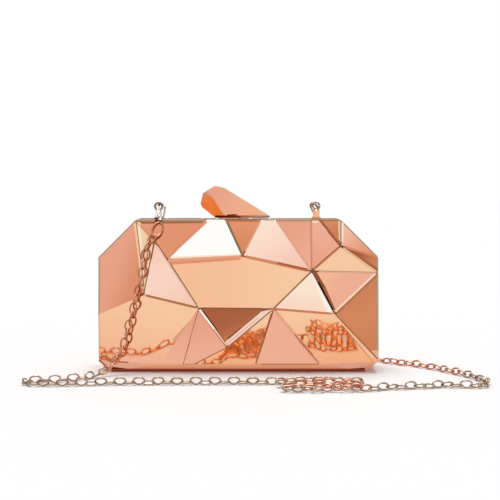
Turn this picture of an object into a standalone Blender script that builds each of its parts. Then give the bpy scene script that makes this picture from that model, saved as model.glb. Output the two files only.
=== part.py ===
"""A hard, box-shaped evening clutch with a faceted mirror face, a gem-shaped clasp and a link chain.

Two metal half cases meet at a plane through y = 0 and turn on a piano hinge under the bottom
edge. Each half is a rim frame, a thin faceted shell, a set of flat mirror plates on the shell and
a lined tray. The gem on top tilts on a sprung bracket. A strap eye stands on each half, and the
chain hangs in them by a spring claw at each end.

The front faces -Y, X runs along the length and Z is up. The origin is under the middle of the
case, on the surface that it stands on.
"""

import math

import bmesh
import bpy
from mathutils import Matrix, Vector

MM = 0.001

# The case outline, seen from the front
case_width = 200 * MM
case_height = 109.2 * MM
shoulder_run_share = 0.135
shoulder_drop_share = 0.2445
foot_cut = 8.2 * MM

# The depth of one half, from the parting plane
frame_depth = 5 * MM
rim_depth = 12 * MM
relief_depth = 12 * MM

# Walls, plates and the gaps between them
shell_wall = 1.2 * MM
frame_wall = 3 * MM
lining_wall = 1 * MM
plate_thickness = 1 * MM
plate_bevel = 0.2 * MM
seam_width = 0.9 * MM
seat_gap = 0.3 * MM
halves_gap = 0.3 * MM
overrun = 2 * MM

# The lined tray
tray_setback = 0.3 * MM
tray_edge_depth = 10 * MM
tray_floor_depth = 14.2 * MM
tray_slope_run = 26 * MM

# The bottom hinge
opening_angle = 80
hinge_length = 130 * MM
knuckle_count = 5
knuckle_radius = 2 * MM
hinge_pin_radius = 1 * MM
hinge_bore_gap = 0.15 * MM
leaf_width = 4.7 * MM

# The clasp
gem_length = 50.5 * MM
gem_height = 23.1 * MM
gem_depth = 19 * MM
gem_lift = 1.2 * MM
gem_left = -27.4 * MM
gem_bevel = 0.25 * MM
tilt_angle = 14
clasp_x = -6 * MM
clasp_y = -2 * MM
clasp_span = 11 * MM
bracket_thickness = 0.6 * MM
ear_thickness = 1 * MM
ear_radius = 1.6 * MM
clasp_pin_radius = 0.7 * MM
clasp_bore_gap = 0.15 * MM
clasp_pin_length = 15 * MM
pivot_height = 2.8 * MM
spring_wire_radius = 0.25 * MM
spring_turns = 5
catch_length = 16 * MM
catch_width = 3.8 * MM
catch_thickness = 0.5 * MM

# The strap eyes
post_spacing = 114 * MM
post_y = 8.6 * MM
post_radius = 2.4 * MM
post_foot_radius = 3.1 * MM
post_foot_height = 1.2 * MM
post_height = 7 * MM
post_round = 1.2 * MM
eye_radius = 2.6 * MM
eye_wire_radius = 0.75 * MM
right_eye_turn = -25

# The spring claws
claw_lean = 45
claw_wire_radius = 0.8 * MM
claw_length = 17.5 * MM
claw_half_width = 2.6 * MM
collar_radius = 1.75 * MM
collar_length = 2.6 * MM
lever_radius = 0.6 * MM

# The chain, as its outer width
chain_width = 6 * MM
chain_step = 17 * MM
chain_bend = 34

# Sides of the round pieces
coarse_sides = 12
fine_sides = 24

half_width = case_width / 2
top_corner_x = half_width - shoulder_run_share * case_width
shoulder_z = case_height - shoulder_drop_share * case_height
foot_x = half_width - foot_cut
hinge_z = knuckle_radius + seat_gap
leaf_bottom = frame_wall + seat_gap
leaf_thickness = hinge_z + knuckle_radius - leaf_bottom
case_top = case_height + seat_gap

OUTLINE = (
    (-foot_x, 0),
    (foot_x, 0),
    (half_width, foot_cut),
    (half_width, shoulder_z),
    (top_corner_x, case_height),
    (-top_corner_x, case_height),
    (-half_width, shoulder_z),
    (-half_width, foot_cut),
)

CORNERS = {
    "left_foot": OUTLINE[0],
    "right_foot": OUTLINE[1],
    "right_ankle": OUTLINE[2],
    "right_shoulder": OUTLINE[3],
    "right_top": OUTLINE[4],
    "left_top": OUTLINE[5],
    "left_shoulder": OUTLINE[6],
    "left_ankle": OUTLINE[7],
}

# Where the folds of the face meet, as shares of the half width, of the height and of the relief.
# A point with no third share lies in the plane of three others, given in FLAT_WITH.
FOLD_SHARES = {
    "left_foot": (None, None, 0.0),
    "right_foot": (None, None, 0.0),
    "right_shoulder": (None, None, 0.0),
    "right_top": (None, None, 0.0),
    "left_shoulder": (None, None, 0.0),
    "F": (0.032, 0.767, 0.500),
    "K": (0.522, 0.669, 0.617),
    "P": (0.249, 0.426, 0.890),
    "B": (-0.593, 0.864, 0.405),
    "E": (-0.668, 0.512, 0.583),
    "O": (0.684, 0.392, 0.790),
    "N": (1.0, 0.653, 0.083),
    "H": (-0.088, 1.0, 0.0),
    "I": (0.161, 1.0, 0.167),
    "V": (0.522, 1.0, 0.0),
    "M": (0.573, 1.0, 0.0),
    "T1": (-0.557, 0.060, 0.617),
    "T3": (-0.315, 0.060, 0.617),
    "T4": (0.124, 0.060, 0.617),
    "T5": (0.578, 0.060, 0.617),
    "Q": (-0.076, 0.173, None),
    "C": (-0.505, 0.743, None),
    "D": (-0.282, 0.430, None),
    "G": (-0.227, 1.0, None),
    "J": (0.270, 1.0, None),
    "L": (0.728, 0.830, None),
    "T2": (-0.394, 0.060, None),
    "left_waist": (-1.0, 0.382, None),
    "left_ankle": (None, None, None),
    "R": (1.0, 0.085, None),
    "right_ankle": (None, None, None),
    "left_top": (None, None, None),
}

FLAT_WITH = {
    "Q": ("P", "T4", "T3"),
    "C": ("F", "K", "P"),
    "D": ("F", "K", "P"),
    "G": ("F", "C", "H"),
    "J": ("F", "K", "I"),
    "L": ("V", "M", "K"),
    "T2": ("D", "Q", "T3"),
    "left_waist": ("E", "D", "T1"),
    "left_ankle": ("E", "D", "T1"),
    "R": ("P", "O", "T5"),
    "right_ankle": ("P", "O", "T5"),
    "left_top": ("G", "C", "B"),
}

# The facets that carry a mirror plate
PLATES = {
    "left_splinter": ("left_top", "B", "E"),
    "left_fin": ("E", "B", "D"),
    "top_left": ("left_top", "G", "C", "B"),
    "top_centre": ("G", "H", "F", "C"),
    "top_wedge": ("H", "I", "F"),
    "top_inner_right": ("I", "J", "K", "F"),
    "top_right": ("J", "V", "K"),
    "top_outer_right": ("V", "M", "L", "K"),
    "corner_wedge": ("M", "right_top", "L"),
    "shoulder_upper": ("right_top", "right_shoulder", "L"),
    "shoulder_lower": ("right_shoulder", "N", "L"),
    "right_fin": ("L", "N", "K"),
    "right_inner": ("K", "N", "O"),
    "right_centre": ("K", "O", "P"),
    "centre": ("C", "F", "K", "P", "D"),
    "centre_wedge": ("D", "P", "Q"),
    "right_flank": ("N", "R", "O"),
    "lower_left": ("D", "Q", "T3", "T2"),
    "lower_right": ("P", "T5", "T4"),
}

# The facets where the shell itself is the mirror
BARE_FACETS = (
    ("left_shoulder", "left_top", "E"),
    ("left_shoulder", "E", "left_waist"),
    ("left_waist", "E", "D", "T1", "left_ankle"),
    ("D", "T2", "T1"),
    ("Q", "P", "T4", "T3"),
    ("P", "O", "R", "right_ankle", "T5"),
    ("left_foot", "right_foot", "T5", "T4", "T3", "T2", "T1"),
    ("left_foot", "T1", "left_ankle"),
    ("right_foot", "right_ankle", "T5"),
)

# A plate may leave out a point that lies along one of its edges, but the shell under it keeps it.
SHELL_UNDER = {"left_fin": ("E", "B", "C", "D")}

# The gem's corners: shares of its length from the left tip, of its half depth, and of its height
GEM_SHARES = (
    (0.000, -0.10, 0.43),
    (0.000, 0.25, 0.46),
    (0.025, -0.12, 0.32),
    (0.038, -0.25, 0.77),
    (0.038, 0.30, 0.74),
    (0.208, -0.22, 1.00),
    (0.208, 0.30, 0.98),
    (0.339, -0.20, 0.94),
    (0.330, 0.40, 0.88),
    (0.200, -0.95, 0.62),
    (0.240, 1.00, 0.55),
    (0.215, -0.48, 0.00),
    (0.215, 0.52, 0.00),
    (0.350, -0.62, 0.00),
    (0.350, 0.64, 0.00),
    (0.590, -0.60, 0.00),
    (0.590, 0.62, 0.00),
    (0.985, -0.20, 0.00),
    (0.985, 0.22, 0.00),
    (1.000, -0.26, 0.03),
    (1.000, 0.28, 0.03),
    (0.975, 0.02, 0.09),
)

# Points along the claw's hook and its lever: shares of the claw's half width and of its length
HOOK_SHARES = (
    (-0.20, 0.745),
    (-0.62, 0.640),
    (-0.90, 0.500),
    (-1.00, 0.340),
    (-0.92, 0.170),
    (-0.58, 0.045),
    (0.00, 0.000),
    (0.58, 0.045),
    (0.90, 0.150),
    (0.95, 0.235),
)
LEVER_SHARES = (
    (0.96, 0.268),
    (0.95, 0.420),
    (0.86, 0.600),
    (0.69, 0.790),
)

# Where the chain lies, from the left claw over the front face and along the ground
CHAIN_ROUTE = [
    Vector(point) * MM
    for point in (
        (-54.94, -19.25, 108.08),
        (-54.94, -23.49, 103.84),
        (-57.0, -25.4, 100.3),
        (-60.2, -25.5, 96.9),
        (-63.2, -25.3, 93.4),
        (-65.1, -25.1, 89.5),
        (-65.9, -24.9, 83.0),
        (-67.0, -24.8, 75.5),
        (-69.2, -24.6, 65.0),
        (-72.4, -24.6, 53.0),
        (-75.8, -24.8, 41.5),
        (-78.4, -25.3, 31.5),
        (-80.6, -26.0, 22.5),
        (-83.4, -26.9, 15.5),
        (-87.2, -28.4, 9.8),
        (-91.8, -31.2, 5.6),
        (-96.8, -36.4, 3.4),
        (-103.1, -43.5, 3.1),
        (-111.1, -50.2, 3.1),
        (-122.6, -54.8, 3.1),
        (-133.2, -57.6, 3.1),
        (-140.6, -59.2, 3.1),
        (-143.9, -63.0, 3.1),
        (-140.6, -66.8, 3.1),
        (-130.5, -68.8, 3.1),
        (-114.1, -68.0, 3.1),
        (-100.5, -66.2, 3.1),
        (-86.5, -64.8, 3.1),
        (-58.3, -63.2, 3.1),
        (-22.1, -62.6, 3.1),
        (18.0, -62.0, 3.1),
        (46.0, -61.4, 3.1),
        (74.0, -61.6, 3.1),
        (82.0, -62.1, 3.1),
        (85.4, -64.9, 3.1),
        (82.0, -67.7, 3.1),
        (74.0, -68.2, 3.1),
        (56.0, -68.2, 3.1),
        (38.0, -68.2, 3.1),
        (30.4, -68.7, 3.1),
        (27.0, -71.5, 3.1),
        (30.4, -74.3, 3.1),
        (38.0, -74.8, 3.1),
        (56.0, -74.8, 3.1),
        (71.0, -74.8, 3.1),
        (78.6, -75.3, 3.1),
        (82.0, -78.1, 3.1),
        (78.6, -80.9, 3.1),
        (71.0, -81.4, 3.1),
        (56.0, -81.4, 3.1),
        (40.0, -81.4, 3.1),
        (32.4, -81.9, 3.1),
        (29.0, -84.7, 3.1),
        (32.4, -87.5, 3.1),
        (41.0, -88.0, 3.1),
        (58.0, -88.2, 3.1),
        (76.0, -87.8, 3.1),
        (86.0, -85.4, 3.1),
        (94.0, -82.0, 3.1),
        (103.0, -79.4, 3.1),
        (114.0, -77.6, 3.1),
        (126.6, -75.0, 3.1),
        (140.6, -71.8, 3.1),
        (154.2, -75.2, 3.1),
        (163.6, -73.2, 3.1),
        (167.8, -66.3, 3.1),
        (168.0, -56.8, 3.1),
        (164.6, -45.3, 3.1),
        (158.3, -33.4, 3.1),
        (150.7, -20.3, 3.1),
        (142.9, -8.4, 3.1),
        (133.7, 1.9, 3.1),
        (123.6, 10.6, 3.1),
        (114.4, 17.6, 3.1),
        (108.5, 22.64, 3.1),
        (104.6, 27.2, 3.1),
    )
]

# From beside the rear corner, behind the case and up to the right claw
BACK_ROUTE = [
    Vector(point) * MM
    for point in (
        (104.39, 27.45, 3.1),
        (100.49, 32.01, 3.1),
        (95.5, 34.3, 3.1),
        (89.5, 34.0, 3.1),
        (83.5, 32.0, 3.4),
        (78.5, 29.6, 5.4),
        (73.8, 27.9, 9.8),
        (70.0, 27.2, 17.0),
        (68.0, 26.8, 28.0),
        (67.2, 26.6, 45.0),
        (66.6, 26.6, 62.0),
        (65.8, 26.4, 78.0),
        (64.6, 26.0, 90.0),
        (63.4, 25.2, 98.0),
        (61.44, 22.97, 103.83),
        (59.64, 19.12, 108.08),
    )
]


def new_collection(name, hidden=False):
    collection = bpy.data.collections.new(name)
    bpy.context.scene.collection.children.link(collection)
    collection.hide_render = hidden
    return collection


def clear_scene():
    for obj in list(bpy.data.objects):
        bpy.data.objects.remove(obj)


def finish(name, colour, roughness, metallic):
    material = bpy.data.materials.new(name)
    material.use_nodes = True
    shader = material.node_tree.nodes["Principled BSDF"]
    shader.inputs["Base Color"].default_value = (*colour, 1)
    shader.inputs["Roughness"].default_value = roughness
    shader.inputs["Metallic"].default_value = metallic
    return material


clear_scene()
clutch = new_collection("clutch")
cutters = new_collection("cutters", hidden=True)

rose_mirror = finish("rose_mirror", (0.93, 0.57, 0.40), 0.08, 1)
peach_mirror = finish("peach_mirror", (0.96, 0.66, 0.47), 0.08, 1)
blush_mirror = finish("blush_mirror", (0.95, 0.62, 0.50), 0.08, 1)
pale_mirror = finish("pale_mirror", (0.98, 0.84, 0.74), 0.08, 1)
copper_mirror = finish("copper_mirror", (0.70, 0.38, 0.22), 0.10, 1)
bright_metal = finish("bright_metal", (0.83, 0.62, 0.48), 0.15, 1)
spring_steel = finish("spring_steel", (0.60, 0.60, 0.62), 0.30, 1)
lining_cloth = finish("lining_cloth", (0.80, 0.70, 0.62), 0.85, 0)

PLATE_FINISHES = {
    "left_splinter": peach_mirror,
    "left_fin": pale_mirror,
    "top_left": rose_mirror,
    "top_centre": pale_mirror,
    "top_wedge": copper_mirror,
    "top_inner_right": pale_mirror,
    "top_right": blush_mirror,
    "top_outer_right": blush_mirror,
    "corner_wedge": copper_mirror,
    "shoulder_upper": peach_mirror,
    "shoulder_lower": rose_mirror,
    "right_fin": peach_mirror,
    "right_inner": blush_mirror,
    "right_centre": pale_mirror,
    "centre": peach_mirror,
    "centre_wedge": copper_mirror,
    "right_flank": copper_mirror,
    "lower_left": blush_mirror,
    "lower_right": blush_mirror,
}


def add(name, mesh, material=None):
    """An object for the mesh: a sub-part where it has a material, and otherwise a cutter."""
    obj = bpy.data.objects.new(name, mesh)
    if material:
        obj.data.materials.append(material)
        clutch.objects.link(obj)
    else:
        cutters.objects.link(obj)
        obj.hide_render = True
        obj.display_type = "WIRE"
    return obj


def mesh_from(bm, name):
    mesh = bpy.data.meshes.new(name)
    bm.to_mesh(mesh)
    bm.free()
    return mesh


def smooth(obj, angle=35):
    obj.data.shade_smooth()
    obj.data.set_sharp_from_angle(angle=math.radians(angle))
    return obj


def solidify(obj, thickness, offset):
    modifier = obj.modifiers.new("wall", "SOLIDIFY")
    modifier.thickness = thickness
    modifier.offset = offset
    modifier.use_even_offset = True
    return obj


def bevel(obj, width, segments=1):
    modifier = obj.modifiers.new("edges", "BEVEL")
    modifier.width = width
    modifier.segments = segments
    modifier.limit_method = "ANGLE"
    return obj


def boolean(obj, other, operation):
    modifier = obj.modifiers.new(other.name, "BOOLEAN")
    modifier.operation = operation
    modifier.object = other
    return obj


def box(name, low, high, material=None):
    bm = bmesh.new()
    bmesh.ops.create_cube(bm, size=1)
    size = Vector(high) - Vector(low)
    middle = (Vector(high) + Vector(low)) / 2
    bmesh.ops.scale(bm, vec=size, verts=bm.verts)
    bmesh.ops.translate(bm, vec=middle, verts=bm.verts)
    return add(name, mesh_from(bm, name), material)


def rod(name, start, end, radius, material=None, sides=fine_sides):
    """A cylinder between two points."""
    start, end = Vector(start), Vector(end)
    bm = bmesh.new()
    bmesh.ops.create_cone(
        bm, cap_ends=True, segments=sides, radius1=radius, radius2=radius, depth=(end - start).length
    )
    turn = (end - start).to_track_quat("Z", "Y").to_matrix()
    bmesh.ops.rotate(bm, matrix=turn, verts=bm.verts)
    bmesh.ops.translate(bm, vec=(start + end) / 2, verts=bm.verts)
    obj = add(name, mesh_from(bm, name), material)
    return smooth(obj)


def prism(name, section, x_from, x_to, material=None):
    """A straight bar along X with the given (y, z) section."""
    bm = bmesh.new()
    corners = [bm.verts.new((x_from, y, z)) for y, z in section]
    bm.faces.new(corners)
    grown = bmesh.ops.extrude_face_region(bm, geom=bm.faces[:])
    moved = [item for item in grown["geom"] if isinstance(item, bmesh.types.BMVert)]
    bmesh.ops.translate(bm, vec=(x_to - x_from, 0, 0), verts=moved)
    bmesh.ops.recalc_face_normals(bm, faces=bm.faces)
    return add(name, mesh_from(bm, name), material)


def smooth_path(route, step, bend=None):
    """Points about one step apart on a smooth curve through the route, closer where it bends."""
    padded = [2 * route[0] - route[1], *route, 2 * route[-1] - route[-2]]
    fine = []
    slices = 16
    for before, start, end, after in zip(padded, padded[1:], padded[2:], padded[3:]):
        for index in range(slices):
            t = index / slices
            fine.append(
                0.5
                * (
                    2 * start
                    + (end - before) * t
                    + (2 * before - 5 * start + 4 * end - after) * t**2
                    + (3 * start - before - 3 * end + after) * t**3
                )
            )
    fine.append(route[-1])
    path = [fine[0]]
    gone = length = turned = 0
    for before, start, end in zip(fine, fine[1:], fine[2:] + fine[-1:]):
        gone += (start - before).length
        length += (start - before).length
        if end is not start:
            turned += (start - before).angle(end - start)
        if gone >= step or (bend and turned >= bend):
            path.append(start)
            gone = turned = 0
    if gone > step / 4:
        path.append(fine[-1])
    else:
        path[-1] = fine[-1]
    return path, length


def tube(name, points, radius, material, resolution=2):
    """A wire with closed ends through the points."""
    curve = bpy.data.curves.new(name, "CURVE")
    curve.dimensions = "3D"
    curve.bevel_depth = radius
    curve.bevel_resolution = resolution
    curve.use_fill_caps = True
    line = curve.splines.new("POLY")
    line.points.add(len(points) - 1)
    for knot, point in zip(line.points, points):
        knot.co = (*point, 1)
    obj = bpy.data.objects.new(name, curve)
    curve.materials.append(material)
    clutch.objects.link(obj)
    return obj


def as_mesh(wire, material=None):
    """The wire as a welded mesh, which a Boolean can take."""
    bpy.context.view_layer.update()
    name = wire.name
    place = wire.matrix_world.copy()
    evaluated = wire.evaluated_get(bpy.context.evaluated_depsgraph_get())
    mesh = bpy.data.meshes.new_from_object(evaluated)
    bpy.data.objects.remove(wire)
    bm = bmesh.new()
    bm.from_mesh(mesh)
    bmesh.ops.remove_doubles(bm, verts=bm.verts, dist=seat_gap / 100)
    bmesh.ops.recalc_face_normals(bm, faces=bm.faces)
    bm.to_mesh(mesh)
    bm.free()
    mesh.materials.clear()
    obj = add(name, mesh, material)
    obj.matrix_world = place
    return obj


def pivot(name, place):
    empty = bpy.data.objects.new(name, None)
    empty.location = place
    clutch.objects.link(empty)
    return empty


def carry(empty, pieces):
    """Hangs the pieces on the empty and leaves them where they are."""
    for piece in pieces:
        piece.parent = empty
        piece.matrix_parent_inverse = Matrix.Translation(empty.location).inverted()


def inset_outline(distance):
    """The case outline with every side moved in by the distance."""
    sides = []
    count = len(OUTLINE)
    for index in range(count):
        start, end = Vector(OUTLINE[index]), Vector(OUTLINE[(index + 1) % count])
        along = (end - start).normalized()
        inward = Vector((-along.y, along.x))
        sides.append((start + inward * distance, along))
    corners = []
    for (start, along), (other, across) in zip(sides[-1:] + sides[:-1], sides):
        span = (other - start).cross(across) / along.cross(across)
        corners.append(start + along * span)
    return corners


def fold_places():
    """Where each fold point lies in the front half."""
    places = {}
    for name, (x_share, z_share, out_share) in FOLD_SHARES.items():
        x, z = CORNERS[name] if name in CORNERS else (x_share * half_width, z_share * case_height)
        if out_share is None:
            a, b, c = (places[other] for other in FLAT_WITH[name])
            normal = (b - a).cross(c - a)
            y = a.y - (normal.x * (x - a.x) + normal.z * (z - a.z)) / normal.y
        else:
            y = -(rim_depth + out_share * relief_depth)
        places[name] = Vector((x, y, z))
    return places


FOLDS = fold_places()
TURNS = {"front": Matrix.Identity(4), "back": Matrix.Rotation(math.pi, 4, "Z")}


def shell(side):
    bm = bmesh.new()
    verts = {name: bm.verts.new(place) for name, place in FOLDS.items()}
    for name, corners in PLATES.items():
        bm.faces.new([verts[corner] for corner in SHELL_UNDER.get(name, corners)])
    for corners in BARE_FACETS:
        bm.faces.new([verts[corner] for corner in corners])
    rim = [edge for edge in bm.edges if edge.is_boundary]
    grown = bmesh.ops.extrude_edge_only(bm, edges=rim)
    for item in grown["geom"]:
        if isinstance(item, bmesh.types.BMVert):
            item.co.y = -(frame_depth + seat_gap)
    bmesh.ops.recalc_face_normals(bm, faces=bm.faces)
    outward = sum((face.normal.y * face.calc_area() for face in bm.faces), 0)
    if outward > 0:
        bmesh.ops.reverse_faces(bm, faces=bm.faces)
    name = f"{side}_shell"
    obj = add(name, mesh_from(bm, name), rose_mirror)
    obj.matrix_world = TURNS[side]
    return solidify(obj, shell_wall, -1)


def mirror_plate(side, name):
    corners = [FOLDS[corner] for corner in PLATES[name]]
    bm = bmesh.new()
    face = bm.faces.new([bm.verts.new(corner) for corner in corners])
    bm.normal_update()
    if face.normal.y > 0:
        face.normal_flip()
    bmesh.ops.inset_individual(bm, faces=[face], thickness=seam_width / 2, use_even_offset=True)
    rim = [other for other in bm.faces if other is not face]
    bmesh.ops.delete(bm, geom=rim, context="FACES")
    bm.normal_update()
    bmesh.ops.translate(bm, vec=bm.faces[:][0].normal * seat_gap, verts=bm.verts)
    name_here = f"{side}_mirror_{name}"
    obj = add(name_here, mesh_from(bm, name_here), PLATE_FINISHES[name])
    obj.matrix_world = TURNS[side]
    solidify(obj, plate_thickness, 1)
    return bevel(obj, plate_bevel)


def band(bm, outline, y):
    """A closed loop of edges around the outline at depth y."""
    verts = [bm.verts.new((x, y, z)) for x, z in outline]
    return [bm.edges.new(pair) for pair in zip(verts, verts[1:] + verts[:1])]


def grow(bm, edges, outline, y):
    """Extrudes the loop of edges to the outline at depth y."""
    grown = bmesh.ops.extrude_edge_only(bm, edges=edges)["geom"]
    verts = [item for item in grown if isinstance(item, bmesh.types.BMVert)]
    for vert, (x, z) in zip(verts, outline):
        vert.co = (x, y, z)
    return [item for item in grown if isinstance(item, bmesh.types.BMEdge)]


def rim_frame(side):
    outline = inset_outline(0)
    bm = bmesh.new()
    edges = band(bm, outline, -halves_gap / 2)
    grow(bm, edges, outline, -frame_depth)
    bmesh.ops.recalc_face_normals(bm, faces=bm.faces)
    name = f"{side}_frame"
    obj = add(name, mesh_from(bm, name), bright_metal)
    obj.matrix_world = TURNS[side]
    solidify(obj, frame_wall, -1)
    boolean(obj, hinge_groove, "DIFFERENCE")
    return boolean(obj, hinge_channel, "DIFFERENCE")


def lining(side):
    wall = inset_outline(frame_wall + seat_gap)
    floor = inset_outline(frame_wall + seat_gap + tray_slope_run)
    bm = bmesh.new()
    edges = band(bm, wall, -(halves_gap / 2 + tray_setback))
    edges = grow(bm, edges, wall, -tray_edge_depth)
    edges = grow(bm, edges, floor, -tray_floor_depth)
    bmesh.ops.edgeloop_fill(bm, edges=edges)
    bmesh.ops.recalc_face_normals(bm, faces=bm.faces)
    name = f"{side}_lining"
    obj = add(name, mesh_from(bm, name), lining_cloth)
    obj.matrix_world = TURNS[side]
    solidify(obj, lining_wall, -1)
    return boolean(obj, leaf_notch, "DIFFERENCE")


def half_case(side):
    pieces = [rim_frame(side), shell(side), lining(side)]
    return pieces + [mirror_plate(side, name) for name in PLATES]


def knuckle_spans(own):
    """Where the knuckles of one leaf start and end: the even or the odd ones."""
    pitch = hinge_length / knuckle_count
    for index in range(own, knuckle_count, 2):
        start = index * pitch - hinge_length / 2
        yield start + seat_gap / 2, start + pitch - seat_gap / 2


def hinge_leaf(name, own, inward):
    """A leaf with its knuckles. It lies inside its frame, on the side that inward points to."""
    half = hinge_length / 2
    near = inward * (knuckle_radius + seat_gap + overrun / 4)
    far = inward * leaf_width
    top = leaf_bottom + leaf_thickness
    low, high = sorted((near, far))
    leaf = box(name, (-half, low, leaf_bottom), (half, high, top), bright_metal)
    for number, (start, end) in enumerate(knuckle_spans(own)):
        barrel = rod(
            f"{name}_barrel_{number}", (start, 0, hinge_z), (end, 0, hinge_z), knuckle_radius
        )
        low, high = sorted((0, far - inward * overrun / 4))
        tongue = box(f"{name}_tongue_{number}", (start, low, leaf_bottom), (end, high, top))
        boolean(leaf, tongue, "UNION")
        boolean(leaf, barrel, "UNION")
    boolean(leaf, hinge_bore, "DIFFERENCE")
    return leaf


def hinge_pin():
    half = hinge_length / 2
    return rod("hinge_pin", (-half, 0, hinge_z), (half, 0, hinge_z), hinge_pin_radius, bright_metal)


half_hinge = hinge_length / 2
groove_depth = hinge_z + overrun
groove_side = groove_depth * math.tan(math.radians(opening_angle / 2)) + seat_gap
hinge_groove = prism(
    "hinge_groove",
    ((0, hinge_z), (-groove_side, hinge_z - groove_depth), (groove_side, hinge_z - groove_depth)),
    -half_width - overrun,
    half_width + overrun,
)
hinge_channel = rod(
    "hinge_channel",
    (-half_hinge - 2 * seat_gap, 0, hinge_z),
    (half_hinge + 2 * seat_gap, 0, hinge_z),
    knuckle_radius + 1.5 * seat_gap,
)
hinge_bore = rod(
    "hinge_bore",
    (-half_hinge - overrun, 0, hinge_z),
    (half_hinge + overrun, 0, hinge_z),
    hinge_pin_radius + hinge_bore_gap,
)
leaf_notch = box(
    "leaf_notch",
    (-half_hinge - 2 * seat_gap, -leaf_width - 2 * seat_gap, 0),
    (
        half_hinge + 2 * seat_gap,
        leaf_width + 2 * seat_gap,
        leaf_bottom + leaf_thickness + seat_gap,
    ),
)

clasp_z = case_height + pivot_height


def bracket():
    """A base on the front frame with two ears that hold the clasp's pin."""
    half = clasp_span / 2
    base_top = case_top + bracket_thickness
    base = box(
        "clasp_bracket",
        (clasp_x - half, clasp_y - ear_radius, case_top),
        (clasp_x + half, clasp_y + ear_radius, base_top),
        bright_metal,
    )
    for number, edge in enumerate((clasp_x - half, clasp_x + half - ear_thickness)):
        ear = box(
            f"ear_{number}",
            (edge, clasp_y - ear_radius, base_top - bracket_thickness / 2),
            (edge + ear_thickness, clasp_y + ear_radius, clasp_z),
        )
        round_end = rod(
            f"ear_end_{number}",
            (edge, clasp_y, clasp_z),
            (edge + ear_thickness, clasp_y, clasp_z),
            ear_radius,
        )
        boolean(base, ear, "UNION")
        boolean(base, round_end, "UNION")
    bore = rod(
        "ear_bore",
        (clasp_x - clasp_span, clasp_y, clasp_z),
        (clasp_x + clasp_span, clasp_y, clasp_z),
        clasp_pin_radius + clasp_bore_gap,
    )
    return boolean(base, bore, "DIFFERENCE")


def clasp_pin():
    half = clasp_pin_length / 2
    return rod(
        "clasp_pin",
        (clasp_x - half, clasp_y, clasp_z),
        (clasp_x + half, clasp_y, clasp_z),
        clasp_pin_radius,
        spring_steel,
        coarse_sides,
    )


def clasp_spring():
    """A torsion spring round the pin, between the ears."""
    radius = clasp_pin_radius + seat_gap + spring_wire_radius
    length = clasp_span - 2 * ear_thickness - 4 * seat_gap
    steps = spring_turns * 10
    points = []
    for index in range(steps + 1):
        angle = 2 * math.pi * spring_turns * index / steps
        x = clasp_x - length / 2 + length * index / steps
        points.append(
            Vector((x, clasp_y + radius * math.cos(angle), clasp_z + radius * math.sin(angle)))
        )
    return tube("clasp_spring", points, spring_wire_radius, spring_steel, resolution=1)


def gem():
    """The faceted gem, hollowed underneath for its bracket."""
    bottom = case_height + gem_lift
    bm = bmesh.new()
    for along_share, depth_share, up_share in GEM_SHARES:
        bm.verts.new(
            (
                gem_left + along_share * gem_length,
                depth_share * gem_depth / 2,
                bottom + up_share * gem_height,
            )
        )
    bmesh.ops.convex_hull(bm, input=bm.verts)
    loose = [vert for vert in bm.verts if not vert.link_faces]
    bmesh.ops.delete(bm, geom=loose, context="VERTS")
    bmesh.ops.dissolve_limit(
        bm, angle_limit=math.radians(1), verts=bm.verts, edges=bm.edges, delimit=set()
    )
    bmesh.ops.recalc_face_normals(bm, faces=bm.faces)
    obj = add("clasp_gem", mesh_from(bm, "clasp_gem"), blush_mirror)
    bevel(obj, gem_bevel)
    sway = math.radians(tilt_angle)
    drop = clasp_z - case_top
    reach = ear_radius * math.cos(sway) + drop * math.sin(sway) + seat_gap
    half = clasp_span / 2 + seat_gap
    pocket = box(
        "gem_pocket",
        (clasp_x - half, clasp_y - reach, case_top - overrun),
        (clasp_x + half, clasp_y + ear_radius + seat_gap, clasp_z + ear_radius + seat_gap),
    )
    reach_x = clasp_pin_length / 2 + seat_gap
    bore = rod(
        "gem_bore",
        (clasp_x - reach_x, clasp_y, clasp_z),
        (clasp_x + reach_x, clasp_y, clasp_z),
        clasp_pin_radius + clasp_bore_gap,
    )
    boolean(obj, pocket, "DIFFERENCE")
    return boolean(obj, bore, "DIFFERENCE")


def catch_plate():
    inner = halves_gap / 2 + seat_gap
    return box(
        "catch_plate",
        (clasp_x - catch_length / 2, inner, case_top),
        (clasp_x + catch_length / 2, inner + catch_width, case_top + catch_thickness),
        bright_metal,
    )


def strap_post(side, place):
    """A turned post with an eye on top, whose hole faces forwards."""
    outline = (
        (0, post_height),
        (post_radius - post_round, post_height),
        (post_radius, post_height - post_round),
        (post_radius, post_foot_height + post_round),
        (post_foot_radius, post_foot_height),
        (post_foot_radius, 0),
        (0, 0),
    )
    bm = bmesh.new()
    verts = [bm.verts.new((x, 0, z)) for x, z in outline]
    for pair in zip(verts, verts[1:]):
        bm.edges.new(pair)
    name = f"{side}_strap_post"
    post = add(name, mesh_from(bm, name), bright_metal)
    turned = post.modifiers.new("turned", "SCREW")
    turned.steps = fine_sides
    turned.render_steps = fine_sides
    turned.use_merge_vertices = True
    turned.merge_threshold = seat_gap / 30
    post.matrix_world = place
    ring = torus(f"{name}_eye")
    ring.matrix_world = place @ Matrix.Rotation(math.pi / 2, 4, "Z")
    return boolean(post, ring, "UNION")


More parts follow.
